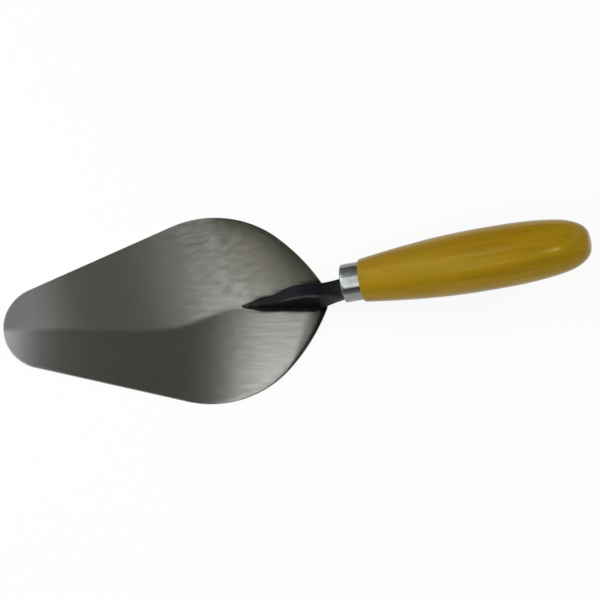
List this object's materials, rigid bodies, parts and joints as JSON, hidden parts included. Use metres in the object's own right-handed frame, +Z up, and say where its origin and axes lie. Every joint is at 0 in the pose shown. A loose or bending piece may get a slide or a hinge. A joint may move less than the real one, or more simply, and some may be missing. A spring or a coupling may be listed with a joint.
{
  "type": "brick trowel",
  "caption": "Brick trowel with a broad round-toed steel blade, a black welded shank, a bright ferrule and a yellow varnished wooden handle.",
  "frame": {"origin": "on the blade's sole, under its widest station, on its middle line", "axes": "+X from the blade's toe to the handle, along the blade's middle line; +Z up, out of the blade's upper face; the blade lies flat on the ground plane"},
  "size_m": [0.3261, 0.1092, 0.0609],
  "materials": {
    "ground_steel": "ground lengthwise, lightly oiled",
    "black_enamel": "semi-gloss, thin over the forging",
    "bright_steel": "bright, turned",
    "yellow_varnished_wood": "semi-gloss varnish"
  },
  "bodies": {
    "root": {"blade": "ground_steel", "shank": "black_enamel", "weld_left": "black_enamel", "weld_right": "black_enamel", "ferrule": "bright_steel", "handle": "yellow_varnished_wood"}
  },
  "joints": []
}
